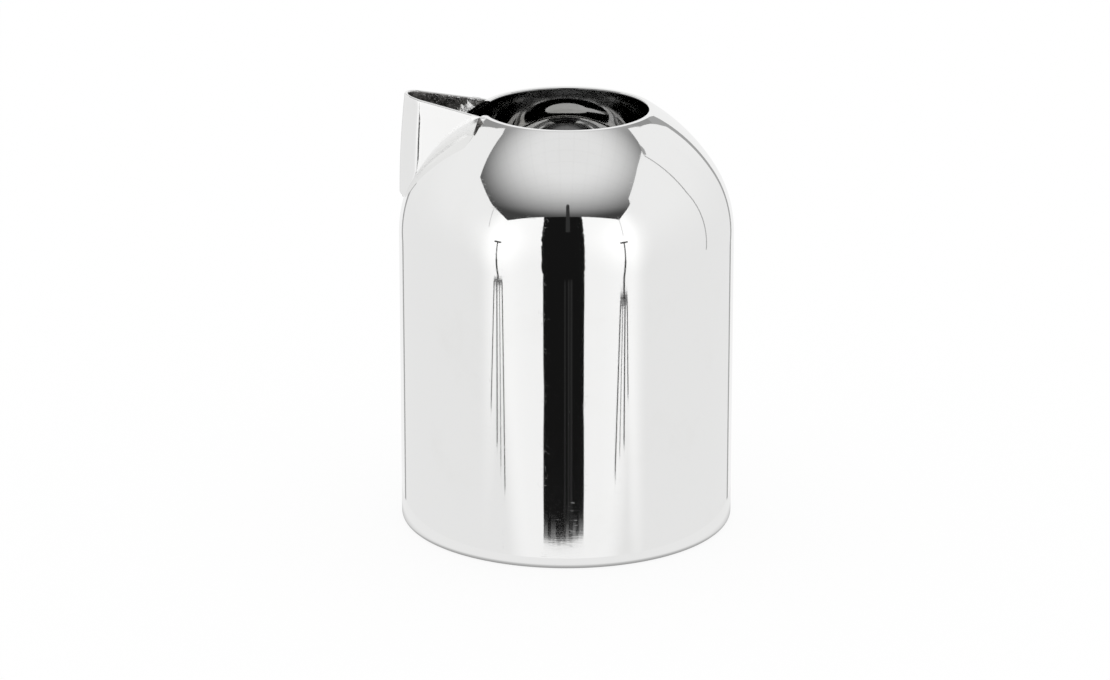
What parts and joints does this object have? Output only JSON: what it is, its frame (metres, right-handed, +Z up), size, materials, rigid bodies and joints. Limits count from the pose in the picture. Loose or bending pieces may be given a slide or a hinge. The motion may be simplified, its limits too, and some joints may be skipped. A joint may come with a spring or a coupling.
{
  "type": "cream jug",
  "caption": "Small round-bodied table jug without a handle: spun straight wall, domed shoulder, open round mouth and a folded beak spout that stands up from the shoulder.",
  "frame": {"origin": "centre of the underside, on the surface the jug stands on", "axes": "+Z up along the body's axis; the spout points along -X; the jug is a mirror image of itself across the XZ plane"},
  "size_m": [0.076, 0.076, 0.1003],
  "materials": {
    "polished_silver": "bright mirror polish with faint waves and fine wiping marks",
    "satin_silver": "spun finish with fine concentric lines",
    "raw_braze": "rough, mottled grey silver solder left unpolished"
  },
  "bodies": {
    "root": {"body_shell": "polished_silver", "spout": "polished_silver", "spout_seam": "polished_silver", "throat_seam": "raw_braze", "base_disc": "satin_silver", "base_seam": "raw_braze"}
  },
  "joints": []
}
